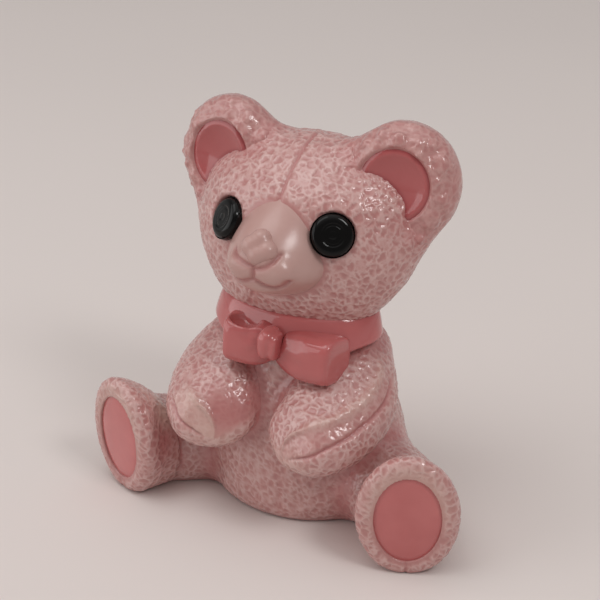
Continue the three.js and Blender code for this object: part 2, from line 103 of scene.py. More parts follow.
# Muzzle, nose and eyes
MUZZLE_HALF_WIDTH = 20.4
MUZZLE_WIDEST = NECK_HEIGHT + 22.5
MUZZLE_RISE = 22.0
MUZZLE_DROP = 15.0
SNOUT_FRONT = -57.0
NOSE_CENTRE = np.array((0.0, -53.0, NECK_HEIGHT + 31.5))
NOSE_HALF_WIDTH = 6.2
NOSE_LOBE_SHARE = 0.62
NOSE_FILLET = 1.2
MOUTH_WIDTH = 0.8
MOUTH_DEPTH = 0.9
MOUTH_FRONT = -46.0
MOUTH_SHADE_SHARE = 1.3
LIP_CENTRE = (5.4, -52.4, 107.0)
LIP_HALF = (7.0, 4.0, 4.4)
LIP_FILLET = 3.5
EYE_RADIUS = 8.0
EYE_CENTRE = np.array((21.8, -39.4, NECK_HEIGHT + 35.1))
EYE_TURN = 32.0
EYE_LIFT = 27.0
EYE_DEPTH = 4.2
EYE_DOME = 1.1
EYE_SEAT = 2.2
SOCKET_CLEARANCE = 0.1
SOCKET_FILLET = 1.5
RIGHT_EYE_SHIFT = np.array((-0.5, 0.4, -1.5))
RIGHT_EYE_TURN = 36.0
EYE_RING_RADIUS = 3.8
EYE_RING_WIDTH = 1.6
EYE_DOT_RADIUS = 1.4

# Arms and legs
ARM_HALF_WIDTH = 19.5
ARM_HALF_THICKNESS = 14.0
SHOULDER = np.array((22.5, -10.5, 63.0))
PAW = np.array((14.5, -61.0, 40.5))
PAW_ROUNDING = 5.0
PAW_FLAT = 3.0
PAW_FACE = np.array((-0.41, -0.80, 0.44))
PAW_FILLET = 4.0
ARM_RIDGE_HEIGHT = 1.3
ARM_RIDGE_DEGREES = 6.5
ARM_SEAM_DEPTH = 1.0
ARM_SEAM_DEGREES = 3.2
FOOT_THICKNESS = 18.5
HIP = np.array((21.0, -13.0, 12.5))
SOLE_CENTRE = np.array((61.5, -58.5, 23.2))
SOLE_TURN = 22.0
SOLE_HALF_WIDTH = 18.8
SOLE_HALF_HEIGHT = 25.0
LEG_HALF_WIDTH = 18.0
LEG_HALF_HEIGHT = 18.5
ANKLE_BACK = 24.0
ANKLE_DROP = 10.0
ANKLE_CREASE_DEPTH = 0.8
ANKLE_CREASE_WIDTH = 1.0
SOLE_SEAM_DEPTH = 0.5
SOLE_SEAM_WIDTH = 0.6
LIMB_CREASE_WIDTH = 8.0
PAD_HALF_WIDTH = 12.0
PAD_HALF_HEIGHT = 17.4
PAD_SINK = 0.8
PAD_THICKNESS = 2.0
PAD_CLEARANCE = 0.2
PAD_REACH = 6.0

# Ribbon and bow
RIBBON_HALF_WIDTH = 33.4
RIBBON_LOW = NECK_HEIGHT - 16.5
RIBBON_HIGH = NECK_HEIGHT + 0.6
RIBBON_THICKNESS = 4.5
RIBBON_ROLL = 3.0
RIBBON_SIDE_RISE = 6.0
RIBBON_SIDE = (14.0, 32.0)
BOW_LENGTH = 20.5
BOW_DEPTH = 10.5
BOW_HALF_HEIGHT = 9.0
KNOT_CENTRE = np.array((2.8, 1.18 * NECK_FRONT, NECK_HEIGHT - 9.5))
KNOT_HALF = np.array((4.3, 5.5, 6.2))
KNOT_SHIFT = np.array((-1.5, -1.5, 1.2))
KNOT_FOLD_LEAN = 0.2
KNOT_FOLD_ASIDE = 1.4
KNOT_FOLD_WIDTH = 0.9
KNOT_FOLD_DEPTH = 0.8
LOOP_ROLL = -10.0
LOOP_SQUARENESS = 0.58
LEFT_LOOP_LENGTH = 22.5
RIGHT_LOOP_RISE = 1.4
PLEAT_DEPTH = 0.6
PLEAT_WIDTH = 1.8
RECESS_CENTRE = (-10.5, -44.6, 82.2)
RECESS_HALF = (6.6, 4.2, 4.6)
RECESS_FILLET = 0.8

# Soft joins between the castings, how far a skin runs under its neighbour, and how deep a
# pressed-on piece is set into the casting behind it
EAR_FILLET = 10.0
EAR_FILLET_LEAST = 0.4
EAR_FILLET_SLOPE = 1.5
ARM_FILLET = 4.0
LEG_FILLET = 6.0
TUCK = 1.5
TUCK_SLOPE = 0.3
SEAT = 1.5

# Curly fur: each sway has a pitch, as a share of the curls', and a reach
CURL_SIZE = 2.8
CURL_HEIGHT = 0.38
CURL_WIDTH = 0.3
CURL_SEED = 3.0
SEED_STEP = (37.0, 61.0, 17.0)
CURL_SWAYS = ((0.8, 2.8), (2.0, 1.2))
CURL_MIDDLE = 0.4
LUMP_PITCH = 0.16
LUMP_HEIGHT = 0.4

# Glazes: colours are 0 to 255, and the fur's run from between the curls to their tops
FUR_COLOURS = ((0.0, (181, 126, 122)), (0.4, (192, 144, 139)), (0.9, (206, 168, 163)))
# Blush: a deeper pink laid on in creases, grooves and hollows, partly as blush and partly as painted
# shade
FUR_BLUSH_AND_SHADE = (178, 102, 101)
# Cream: a paler colour laid on along ridges, paw ends and pad rims, partly as cream and partly as a
# painted highlight
FUR_CREAM_AND_HIGHLIGHT = (211, 180, 168)
FUR_POOL = (168, 104, 102)
FUR_POOL_SHARE = 0.18
GLAZE_IOR = 1.5
GLAZE_DENT = 0.4
GLAZE_COAT = 0.35
COAT_ROUGHNESS = 0.05
BLACK_SHINE = 0.22

# Photograph's view
CAMERA_TURN = 26.93
CAMERA_RISE = 26.16
CAMERA_DISTANCE = 516.83
CAMERA_AIM = np.array((-10.98, 0.0, 69.09))
CAMERA_LENS = 78.0

# Studio air: brightness by height, from 0 at the horizon to 1 straight up
AIR_LEVELS = ((0.0, 0.58), (0.3, 0.26), (0.62, 0.26), (1.0, 1.0))
AIR_TINT = np.array((1.0, 0.985, 0.97))

# Studio, in metres: a light's name as seen in the photograph, place, height of aim, size, watts
LIGHTS = (
    ("right_window", (0.9, -0.3, 1.15), 0.07, (0.36, 0.36), 4.4),
    ("left_window", (-0.45, -0.3, 1.4), 0.07, (0.9, 0.9), 3.6),
    ("left_fill", (-1.5, -1.0, 0.7), 0.05, (2.0, 1.4), 11.0),
)
FLOOR_SIZE = 40.0
FLOOR_DROP = 0.0002
FLOOR_ROUGHNESS = 0.75


def smooth(rows, share):
    """A smooth curve through the rows of a table, read at shares of its length."""
    rows = np.asarray(rows, float)
    place = np.atleast_1d(share) * (len(rows) - 1)
    step = np.minimum(np.floor(place).astype(int), len(rows) - 2)
    f = (place - step)[:, None]
    a, b, c, d = (rows[np.clip(step + k, 0, len(rows) - 1)] for k in (-1, 0, 1, 2))
    return b + 0.5 * f * (c - a + f * (2 * a - 5 * b + 4 * c - d + f * (3 * (b - c) + d - a)))


def facing(turn, lift):
    """Turn about the upright axis, after a lift of the face; the face looks along -Y."""
    t, l = math.radians(turn), math.radians(-lift)
    spin = np.array(((math.cos(t), -math.sin(t), 0), (math.sin(t), math.cos(t), 0), (0, 0, 1)))
    tilt = np.array(((1, 0, 0), (0, math.cos(l), -math.sin(l)), (0, math.sin(l), math.cos(l))))
    return spin @ tilt


def loft(rings, first, last):
    """Points, triangles and quads of a skin through rings, closed by a point at each end."""
    count, around = rings.shape[:2]
    points = np.concatenate([rings.reshape(-1, 3), [first], [last]])
    k = np.arange(around)
    after = (k + 1) % around
    start = np.arange(count - 1)[:, None] * around
    quads = np.stack([start + k, start + after, start + around + after, start + around + k], -1)
    top = (count - 1) * around
    pole = np.full(around, count * around)
    caps = [np.stack([pole, after, k], -1), np.stack([pole + 1, top + k, top + after], -1)]
    return points, np.concatenate(caps), quads.reshape(-1, 4)


def round_angles(count=ROUND):
    return np.linspace(0, 2 * math.pi, count, endpoint=False)


def rings_of(x, y, z):
    return np.stack(np.broadcast_arrays(x, y, z), -1)


def stack(levels, crown=None):
    """Level oval rings, each with a height, half width, front and back."""
    table = smooth(levels, np.linspace(0, 1, ALONG))
    angle = round_angles()
    height, half, front, back = (table[:, column][:, None] for column in range(4))
    middle = (front + back) / 2
    rings = rings_of(half * np.cos(angle), middle + (back - front) / 2 * np.sin(angle), height)
    poles = [np.array((0.0, (row[2] + row[3]) / 2, row[0])) for row in (table[0], table[-1])]
    return loft(rings, poles[0], poles[1] if crown is None else crown)


def strung(stations, share, upright=False):
    """Centres, side and rise directions and half sizes along a limb's bending path."""
    step = 0.05
    table = smooth(stations, share)
    after = smooth(stations, np.minimum(share + step, 1))
    before = smooth(stations, np.maximum(share - step, 0))
    ahead = (after - before)[:, :3]
    if upright:
        ahead[:, 2] = 0
    ahead /= np.linalg.norm(ahead, axis=1, keepdims=True)
    level = np.stack([-ahead[:, 1], ahead[:, 0], 0 * share], 1)
    level /= np.linalg.norm(level, axis=1, keepdims=True)
    roll = np.radians(table[:, 5])[:, None]
    side = level * np.cos(roll) + np.cross(ahead, level) * np.sin(roll)
    return table[:, :3], side, np.cross(ahead, side), table[:, 3], table[:, 4]


def limb(stations, exponent=1.0, upright=False):
    """Oval rings along a path; a station has a centre, half width, half height and roll."""
    centre, side, rise, half, tall = strung(stations, np.linspace(0, 1, ALONG), upright)
    angle = round_angles()
    across = np.sign(np.cos(angle)) * np.abs(np.cos(angle)) ** exponent
    up = np.sign(np.sin(angle)) * np.abs(np.sin(angle)) ** exponent
    rings = centre[:, None] + side[:, None] * (half[:, None] * across)[..., None]
    rings = rings + rise[:, None] * (tall[:, None] * up)[..., None]
    return loft(rings, centre[0], centre[-1])


def drawn_in(stations, amount):
    """Stations of a limb made smaller all round and shorter at its far end."""
    table = np.array(stations, float)
    table[:, 3:5] -= amount
    back = table[-2, :3] - table[-1, :3]
    table[-1, :3] += amount * back / np.linalg.norm(back)
    return table


def figure_shift():
    """How far the frame moved the figure along Y, read from the left foot pad."""
    low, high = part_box("left_foot_pad")
    pad = SOLE_CENTRE + facing(SOLE_TURN, 0) @ np.array((0.0, PAD_SINK + PAD_THICKNESS / 2, 0.0))
    return np.array((0.0, (low[1] + high[1]) / (2 * MM) - pad[1], 0.0))


FIGURE_SHIFT = figure_shift()


# Main forms, ring by ring
def torso_form():
    w, f, b = BELLY_HALF_WIDTH, BELLY_FRONT, BELLY_BACK
    return stack([
        (-0.144 * NECK_HEIGHT, 0.5 * w, 0.6 * f, 0.2 * b),
        (0, 0.88 * w, 0.96 * f, 0.78 * b),
        (0.144 * NECK_HEIGHT, w, 1.01 * f, 0.98 * b),
        (0.311 * NECK_HEIGHT, 0.98 * w, f, b),
        (0.503 * NECK_HEIGHT, 0.87 * w, 0.95 * f, 0.82 * b),
        (0.695 * NECK_HEIGHT, 0.79 * w, 0.86 * f, 0.55 * b),
        (0.862 * NECK_HEIGHT, 0.72 * w, 1.02 * NECK_FRONT, 0.2 * b),
        (NECK_HEIGHT, 0.66 * w, NECK_FRONT, NECK_BACK),
        (1.096 * NECK_HEIGHT, 0.66 * w, NECK_FRONT, NECK_BACK),
    ])


def head_form():
    w, f, b = HEAD_HALF_WIDTH, FACE_FRONT, HEAD_BACK
    rows = [
        (-0.103, 0.5 * w, 0.8 * f, 1.8 * NECK_BACK),
        (0, 0.72 * w, 0.93 * f, 0.4 * NECK_BACK),
        (0.181, 0.91 * w, f, 0.6 * b),
        (0.388, w, 1.02 * f, b),
        (0.578, 0.97 * w, 0.97 * f, b),
        (0.75, 0.86 * w, 0.86 * f, 0.8 * b),
        (0.888, 0.64 * w, 0.62 * f, 0.4 * b),
        (0.974, 0.34 * w, 0.4 * f, -0.05 * b),
    ]
    levels = [(NECK_HEIGHT + rise * HEAD_HEIGHT, *rest) for rise, *rest in rows]
    return stack(levels, np.array((0.0, CROWN_Y, NECK_HEIGHT + HEAD_HEIGHT)))


def arm_stations():
    rows = [
        (0, 0, 0.5, 0.65, 0),
        (0.22, 0.17, 0.76, 0.98, -10),
        (0.47, 0.36, 0.98, 1, -18),
        (0.72, 0.34, 0.98, 0.95, -18),
        (0.92, 0.14, 0.78, 0.82, -12),
        (1.07, 0, 0.4, 0.48, -8),
    ]
    stations = []
    for share, out, half, tall, roll in rows:
        spot = SHOULDER + (PAW - SHOULDER) * share + np.array((out * ARM_HALF_WIDTH, 0, 0))
        stations.append((*spot, half * ARM_HALF_WIDTH, tall * ARM_HALF_THICKNESS, roll))
    return stations


def leg_stations():
    out = facing(SOLE_TURN, 0) @ np.array((0.0, -1.0, 0.0))

    def ankle(back, drop):
        return SOLE_CENTRE - out * back * ANKLE_BACK - np.array((0, 0, drop * ANKLE_DROP))

    shin = (HIP + ankle(1, 1)) / 2
    return [
        (*HIP, 0.945 * LEG_HALF_WIDTH, 0.945 * LEG_HALF_HEIGHT, 0),
        (*shin, LEG_HALF_WIDTH, LEG_HALF_HEIGHT, 0),
        (*ankle(1, 1), 0.97 * LEG_HALF_WIDTH, LEG_HALF_HEIGHT, 0),
        (*ankle(0.5, 0.35), 0.94 * SOLE_HALF_WIDTH, 0.92 * SOLE_HALF_HEIGHT, 0),
        (*ankle(0.125, 0), SOLE_HALF_WIDTH, SOLE_HALF_HEIGHT, 0),
        (*SOLE_CENTRE, 0.84 * SOLE_HALF_WIDTH, 0.88 * SOLE_HALF_HEIGHT, 0),
    ]


def ear_form():
    turn = facing(EAR_TURN, EAR_LEAN)
    angle = np.linspace(-math.pi / 2, math.pi / 2, ALONG)[1:-1]
    radius = EAR_RADIUS * np.cos(angle) ** 0.7
    depth = EAR_HALF_THICKNESS * np.sign(np.sin(angle)) * np.abs(np.sin(angle)) ** 0.9
    around = round_angles()
    tall = EAR_TALL_RADIUS / EAR_RADIUS
    rings = rings_of(
        radius[:, None] * np.cos(around), depth[:, None], tall * radius[:, None] * np.sin(around))
    tips = [np.array((0.0, way * EAR_HALF_THICKNESS, 0.0)) for way in (-1, 1)]
    return loft(rings @ turn.T + EAR_CENTRE, *[turn @ tip + EAR_CENTRE for tip in tips])


def muzzle_form():
    table = smooth([
        (0.42, 1.02, 1.18, 1.13),
        (0.614, 1, 1, 1),
        (0.754, 0.9, 0.82, 0.87),
        (0.877, 0.7, 0.59, 0.667),
        (0.965, 0.46, 0.364, 0.467),
        (1, 0.2, 0.18, 0.2),
    ], np.linspace(0, 1, ALONG))
    out, half, rise, drop = (table[:, column][:, None] for column in range(4))
    angle = round_angles()
    c, s = np.cos(angle), np.sin(angle)
    up = np.where(s > 0, rise * MUZZLE_RISE * np.abs(s) ** 1.5, drop * MUZZLE_DROP * s)
    rings = rings_of(half * MUZZLE_HALF_WIDTH * c, out * SNOUT_FRONT, MUZZLE_WIDEST + up)
    ends = [np.array((0.0, share * SNOUT_FRONT, MUZZLE_WIDEST)) for share in (0.42, 1.005)]
    return loft(rings, *ends)


def ribbon_form():
    middle = (NECK_FRONT + NECK_BACK) / 2
    depth = (NECK_BACK - NECK_FRONT) / 2 + RIBBON_THICKNESS
    rows = [
        (RIBBON_LOW, 0.98, 0.33),
        (RIBBON_LOW + RIBBON_ROLL, 1.03, 0.33),
        ((RIBBON_LOW + RIBBON_HIGH) / 2, 1, 0.22),
        (RIBBON_HIGH - RIBBON_ROLL, 0.95, 0),
        (RIBBON_HIGH, 0.88, 0),
    ]
    levels = []
    for height, share, lean in rows:
        centre = middle - lean * RIBBON_THICKNESS
        front, back = centre - share * depth, centre + share * depth
        levels.append((height, share * RIBBON_HALF_WIDTH, front, back))
    return stack(levels)


def loop_form(length):
    rows = [
        (0.05, 0.04, 0, 0.36, 0.62),
        (0.24, 0.1, 0.08, 0.58, 0.88),
        (0.48, 0.15, 0.14, 0.74, 1.0),
        (0.9, 0.17, 0.14, 0.84, 0.99),
        (1.05, 0.155, 0.14, 0.8, 0.95),
    ]
    stations = []
    for out, back, drop, deep, tall in rows:
        spot = KNOT_CENTRE + np.array((length * out, BOW_LENGTH * back, -BOW_LENGTH * drop))
        stations.append((*spot, deep * BOW_DEPTH, tall * BOW_HALF_HEIGHT, LOOP_ROLL * out))
    return limb(stations, exponent=LOOP_SQUARENESS)


# Distance fields
class Block:
    """A block of cells in space, in which each form is held as its distance to every cell."""

    def __init__(self, low, high, cell):
        self.cell = cell
        self.low = np.floor(np.array(low) / cell).astype(int)
        self.shape = tuple(np.ceil(np.array(high) / cell).astype(int) - self.low + 1)
        axes = [(self.low[k] + np.arange(self.shape[k])) * cell for k in range(3)]
        self.x = axes[0][:, None, None].astype(np.float32)
        self.y = axes[1][None, :, None].astype(np.float32)
        self.z = axes[2][None, None, :].astype(np.float32)

    def form(self, skin, grow=0.0):
        """Distance to a closed skin grown all round, less than zero inside."""
        points, triangles, quads = skin
        grid = openvdb.FloatGrid.createLevelSetFromPolygons(
            points.astype(np.float32),
            triangles=triangles.astype(np.uint32),
            quads=quads.astype(np.uint32),
            transform=openvdb.createLinearTransform(voxelSize=self.cell),
            halfWidth=(BAND + grow) / self.cell)
        field = np.empty(self.shape, np.float32)
        grid.copyToArray(field, ijk=tuple(int(v) for v in self.low))
        return field - grow

    def about(self, centre):
        """Coordinates of the cells measured from a centre."""
        return [axis - middle for axis, middle in zip((self.x, self.y, self.z), centre)]

    def local(self, centre, turn, lift):
        """Coordinates of the cells as seen from a turned and lifted face."""
        m = facing(turn, lift)
        dx, dy, dz = self.about(centre)
        return [(m[0, k] * dx + m[1, k] * dy + m[2, k] * dz).astype(np.float32) for k in range(3)]

    def egg(self, place, half):
        """Distance to an ellipsoid, from coordinates measured at its centre."""
        near = np.sqrt(sum((p / h) ** 2 for p, h in zip(place, half)))
        steep = np.sqrt(sum((p / h ** 2) ** 2 for p, h in zip(place, half)))
        return near * (near - 1) / np.maximum(steep, 1e-6)

    def skin(self, field):
        """Points and quads of the field's surface, largest island only, faces outward."""
        grid = openvdb.FloatGrid(float(field.max()))
        field = np.ascontiguousarray(field, np.float32)
        grid.copyFromArray(field, ijk=tuple(int(v) for v in self.low))
        grid.transform = openvdb.createLinearTransform(voxelSize=self.cell)
        points, quads = grid.convertToQuads(isovalue=0.0)
        points, quads = largest_island(points.astype(float), quads.astype(np.int64))
        return points, outward(points, quads)

    def read(self, field, points):
        """The field at each point, between its cells."""
        place = points / self.cell - self.low
        cell = np.clip(np.floor(place).astype(int), 0, np.array(self.shape) - 2)
        f = place - cell
        total = np.zeros(len(points))
        for corner in np.ndindex(2, 2, 2):
            weight = np.prod(np.where(corner, f, 1 - f), axis=1)
            at = cell + corner
            total += weight * field[at[:, 0], at[:, 1], at[:, 2]]
        return total


def largest_island(points, quads):
    """The one joined skin with the most points, renumbered."""
    label = np.arange(len(points))
    while True:
        low = label[quads].min(1)
        new = label.copy()
        for column in range(4):
            np.minimum.at(new, quads[:, column], low)
        new = new[new]
        if np.array_equal(new, label):
            break
        label = new
    main = np.bincount(label).argmax()
    keep = label[quads[:, 0]] == main
    used = np.unique(quads[keep])
    renumber = np.zeros(len(points), np.int64)
    renumber[used] = np.arange(len(used))
    return points[used], renumber[quads[keep]]


def outward(points, quads):
    """The quads, flipped if they face inward."""
    a, b, c, d = (points[quads[:, k]] for k in range(4))
    volume = np.einsum("ij,ij->i", a, np.cross(b, c) + np.cross(c, d)).sum()
    return quads if volume > 0 else quads[:, ::-1]


def melt(a, b, fillet):
    """Two forms joined with a soft fillet."""
    close = np.maximum(fillet - np.abs(a - b), 0)
    return np.minimum(a, b) - close * close / (4 * fillet)


def tucked(group, part):
    """One casting's share of a joined skin, running a little under its neighbours."""
    sunk = group + TUCK_SLOPE * np.maximum(part, 0)
    return np.maximum(sunk, part - TUCK)


def blurred(field, passes):
    """A field softened along each axis in turn."""
    for _ in range(passes):
        for axis in range(3):
            first, last = (np.take(field, [end], axis) for end in (0, -1))
            near = np.concatenate([first, field, last], axis)
            count = field.shape[axis]
            parts = [np.take(near, range(k, k + count), axis) for k in range(3)]
            field = 0.25 * parts[0] + 0.5 * parts[1] + 0.25 * parts[2]
    return field


def fade(value, start, end):
    """From 0 at start to 1 at end, smoothly."""
    share = np.clip((value - start) / (end - start), 0, 1)
    return share * share * (3 - 2 * share)


# Pieces
pieces = {}


def piece(name, points, faces, glaze, node, slot, looks=None):
    """A closed mesh in the frame, standing for one solid."""
    mesh = bpy.data.meshes.new(name)
    count = faces.shape[1]
    mesh.vertices.add(len(points))
    mesh.vertices.foreach_set("co", ((points + FIGURE_SHIFT) * MM).astype(np.float32).ravel())
    mesh.loops.add(faces.size)
    mesh.loops.foreach_set("vertex_index", faces.astype(np.int32).ravel())
    mesh.polygons.add(len(faces))
    mesh.polygons.foreach_set("loop_start", np.arange(len(faces), dtype=np.int32) * count)
    mesh.polygons.foreach_set("use_smooth", np.ones(len(faces), bool))
    mesh.update(calc_edges=True)
    for key, values in (looks or {}).items():
        layer = mesh.attributes.new(key, "FLOAT", "POINT")
        layer.data.foreach_set("value", values.astype(np.float32))
    mesh.materials.append(glaze)
    thing = bpy.data.objects.new(name, mesh)
    bpy.context.scene.collection.objects.link(thing)
    pieces[name] = (thing, node, slot)


def add(tree, kind, inputs=None, **settings):
    """A node with its settings and inputs; an input is a value or another node's output."""
    node = tree.nodes.new(kind)
    for key, value in settings.items():
        setattr(node, key, value)
    for key, value in (inputs or {}).items():
        if isinstance(value, bpy.types.NodeSocket):
            tree.links.new(value, node.inputs[key])
        else:
            node.inputs[key].default_value = value
    return node


def maths(tree, operation, *values):
    return add(tree, "ShaderNodeMath", dict(enumerate(values)), operation=operation).outputs[0]


def vectors(tree, operation, *values):
    node = add(tree, "ShaderNodeVectorMath", dict(enumerate(values)), operation=operation)
    return node.outputs[0]


def scaled(tree, vector, scale):
    return add(tree, "ShaderNodeVectorMath", {0: vector, "Scale": scale}, operation="SCALE").outputs[0]


def noise(tree, place, scale, detail=0.0, output=0):
    inputs = {"Vector": place, "Scale": scale, "Detail": detail}
    return add(tree, "ShaderNodeTexNoise", inputs).outputs[output]


def ranged(tree, value, start, end, low=0.0, high=1.0, kind="LINEAR"):
    """Low where the value is at start, high where it is at end."""
    inputs = {"Value": value, "From Min": start, "From Max": end, "To Min": low, "To Max": high}
    return add(tree, "ShaderNodeMapRange", inputs, interpolation_type=kind).outputs[0]


def ramp_down(tree, value, end):
    """1 at zero, falling softly to 0 at end."""
    return ranged(tree, value, 0.0, end, 1.0, 0.0, kind="SMOOTHSTEP")


def mix_colours(tree, share, a, b):
    return add(tree, "ShaderNodeMix", {0: share, 6: a, 7: b}, data_type="RGBA").outputs[2]


def colour_ramp(tree, value, rows):
    """Colours over a value, through rows of a place and a colour."""
    ramp = add(tree, "ShaderNodeValToRGB", {"Fac": value})
    stops = ramp.color_ramp.elements
    stops.remove(stops[1])
    stops[0].position, stops[0].color = rows[0]
    for place, colour in rows[1:]:
        stops.new(place).color = colour
    return ramp.outputs[0]


def curly_fur_tree():
    """Raises worm-like curls on a skin and keeps their height as the attribute curl."""
    tree = bpy.data.node_groups.new("curly_fur", "GeometryNodeTree")
    face = tree.interface
    face.new_socket("Geometry", in_out="INPUT", socket_type="NodeSocketGeometry")
    for name, value in (("Curl Size", CURL_SIZE), ("Curl Height", CURL_HEIGHT), ("Seed", CURL_SEED)):
        face.new_socket(name, in_out="INPUT", socket_type="NodeSocketFloat").default_value = value
    face.new_socket("Glaze", in_out="INPUT", socket_type="NodeSocketMaterial")
    face.new_socket("Geometry", in_out="OUTPUT", socket_type="NodeSocketGeometry")
    given = tree.nodes.new("NodeGroupInput").outputs

    def stored(name):
        inputs = {"Name": name}
        return add(tree, "GeometryNodeInputNamedAttribute", inputs, data_type="FLOAT").outputs[0]

    place = scaled(tree, add(tree, "GeometryNodeInputPosition").outputs[0], 1 / MM)
    seed = add(tree, "ShaderNodeCombineXYZ", {k: given["Seed"] for k in range(3)}).outputs[0]
    place = vectors(tree, "ADD", place, vectors(tree, "MULTIPLY", seed, SEED_STEP))
    pitch = maths(tree, "DIVIDE", 1.0, given["Curl Size"])
    swayed = place
    for turns, reach in CURL_SWAYS:
        sway = noise(tree, place, maths(tree, "MULTIPLY", pitch, turns), output=1)
        sway = vectors(tree, "SUBTRACT", sway, (0.5, 0.5, 0.5))
        sway = vectors(tree, "MULTIPLY", sway, (reach, reach, reach))
        swayed = vectors(tree, "ADD", swayed, sway)
    cells = add(tree, "ShaderNodeTexVoronoi", {"Vector": swayed, "Scale": pitch, "Randomness": 1.0},
                feature="DISTANCE_TO_EDGE").outputs[0]
    patches = noise(tree, place, maths(tree, "MULTIPLY", pitch, 0.9))
    broken = ranged(tree, patches, 0.35, 0.55, low=0.65)
    curl = maths(tree, "MULTIPLY", ramp_down(tree, cells, CURL_WIDTH), broken)
    curl = maths(tree, "MULTIPLY", curl, stored("fur"))

    dome = add(tree, "ShaderNodeTexVoronoi", {"Vector": swayed, "Scale": 1 / EAR_LUMP_SIZE},
               feature="SMOOTH_F1").outputs[0]
    dome = maths(tree, "SUBTRACT", ramp_down(tree, dome, EAR_LUMP_WIDTH), EAR_LUMP_MIDDLE)
    dome = maths(tree, "MULTIPLY", dome, stored("lumpy"))
    lump = maths(tree, "SUBTRACT", noise(tree, place, LUMP_PITCH, 1.0), 0.5)
    lump = maths(tree, "MULTIPLY", lump, LUMP_HEIGHT)
    rise = maths(tree, "SUBTRACT", curl, CURL_MIDDLE)
    rise = maths(tree, "MULTIPLY", rise, given["Curl Height"])
    rise = maths(tree, "ADD", maths(tree, "ADD", rise, lump), dome)
    rise = maths(tree, "ADD", maths(tree, "MULTIPLY", rise, stored("free")), stored("lift"))
    normal = add(tree, "GeometryNodeInputNormal").outputs[0]
    push = scaled(tree, normal, maths(tree, "MULTIPLY", rise, MM))

    made = given["Geometry"]
    for kind, inputs, settings in (
            ("GeometryNodeSetPosition", {"Offset": push}, {}),
            ("GeometryNodeStoreNamedAttribute", {"Name": "curl", "Value": curl},
             {"data_type": "FLOAT", "domain": "POINT"}),
            ("GeometryNodeRealizeInstances", {}, {}),
            ("GeometryNodeSetMaterial", {"Material": given["Glaze"]}, {})):
        made = add(tree, kind, {"Geometry": made, **inputs}, **settings).outputs[0]
    add(tree, "NodeGroupOutput", {"Geometry": made})
    return tree


def grow_fur(thing, tree, glaze):
    """Runs the fur tree on a piece and keeps the result as a plain mesh."""
    modifier = thing.modifiers.new("fur", "NODES")
    modifier.node_group = tree
    values = {"Curl Size": CURL_SIZE, "Curl Height": CURL_HEIGHT, "Seed": CURL_SEED, "Glaze": glaze}
    for socket in tree.interface.items_tree:
        if socket.in_out == "INPUT" and socket.name in values:
            modifier[socket.identifier] = values[socket.name]
    thing.update_tag()
    ready = bpy.context.evaluated_depsgraph_get()
    mesh = bpy.data.meshes.new_from_object(
        thing.evaluated_get(ready), preserve_all_data_layers=True, depsgraph=ready)
    thing.modifiers.remove(modifier)
    old = thing.data
    thing.data = mesh
    bpy.data.meshes.remove(old)
    mesh.name = thing.name


# Glazes
def paint(red, green, blue):
    """A colour written as 0 to 255, in linear light."""
    parts = [v / 255 for v in (red, green, blue)]
    return (*[v / 12.92 if v <= 0.04045 else ((v + 0.055) / 1.055) ** 2.4 for v in parts], 1.0)


def new_material(name):
    material = bpy.data.materials.new(name)
    material.use_nodes = True
    tree = material.node_tree
    return material, tree, tree.nodes["Principled BSDF"]


def make_pool_group():
    """Glaze that runs thin and thick, with its roughness and the height of its surface."""
    tree = bpy.data.node_groups.new("glaze_pool", "ShaderNodeTree")
    face = tree.interface
    for name, kind in (("Thin Colour", "Color"), ("Thick Colour", "Color"), ("Pool Size", "Float"),
                       ("Smoothest", "Float"), ("Roughest", "Float")):
        face.new_socket(name, in_out="INPUT", socket_type="NodeSocket" + kind)
    for name, kind in (("Colour", "Color"), ("Roughness", "Float"), ("Height", "Float")):
        face.new_socket(name, in_out="OUTPUT", socket_type="NodeSocket" + kind)
    given = tree.nodes.new("NodeGroupInput").outputs
    place = scaled(tree, add(tree, "ShaderNodeTexCoord").outputs["Object"], 1 / MM)
    broad = noise(tree, place, maths(tree, "DIVIDE", 1.0, given["Pool Size"]), 3.0)
    fine = noise(tree, place, 0.9, 2.0)
    share = ranged(tree, broad, 0.32, 0.68)
    swell, ripple = maths(tree, "MULTIPLY", broad, 0.8), maths(tree, "MULTIPLY", fine, 0.2)
    add(tree, "NodeGroupOutput", {
        "Colour": mix_colours(tree, share, given["Thin Colour"], given["Thick Colour"]),
        "Roughness": ranged(tree, fine, 0.3, 0.7, given["Smoothest"], given["Roughest"]),
        "Height": maths(tree, "ADD", swell, ripple),
    })
    return tree


def pooled(tree, group, thin, thick, size, smoothest, roughest):
    return add(tree, "ShaderNodeGroup", {
        "Thin Colour": thin, "Thick Colour": thick, "Pool Size": size,
        "Smoothest": smoothest, "Roughest": roughest}, node_tree=group).outputs


def finish_glaze(tree, shader, colour, pool, bump, coat=GLAZE_COAT):
    """Joins a colour and a pool's roughness and height to the shader, under a clear coat."""
    dent = {"Height": pool["Height"], "Strength": bump, "Distance": GLAZE_DENT * MM}
    tree.links.new(colour, shader.inputs["Base Color"])
    tree.links.new(pool["Roughness"], shader.inputs["Roughness"])
    tree.links.new(add(tree, "ShaderNodeBump", dent).outputs[0], shader.inputs["Normal"])
    shader.inputs["IOR"].default_value = GLAZE_IOR
    shader.inputs["Coat Weight"].default_value = coat
    shader.inputs["Coat Roughness"].default_value = COAT_ROUGHNESS


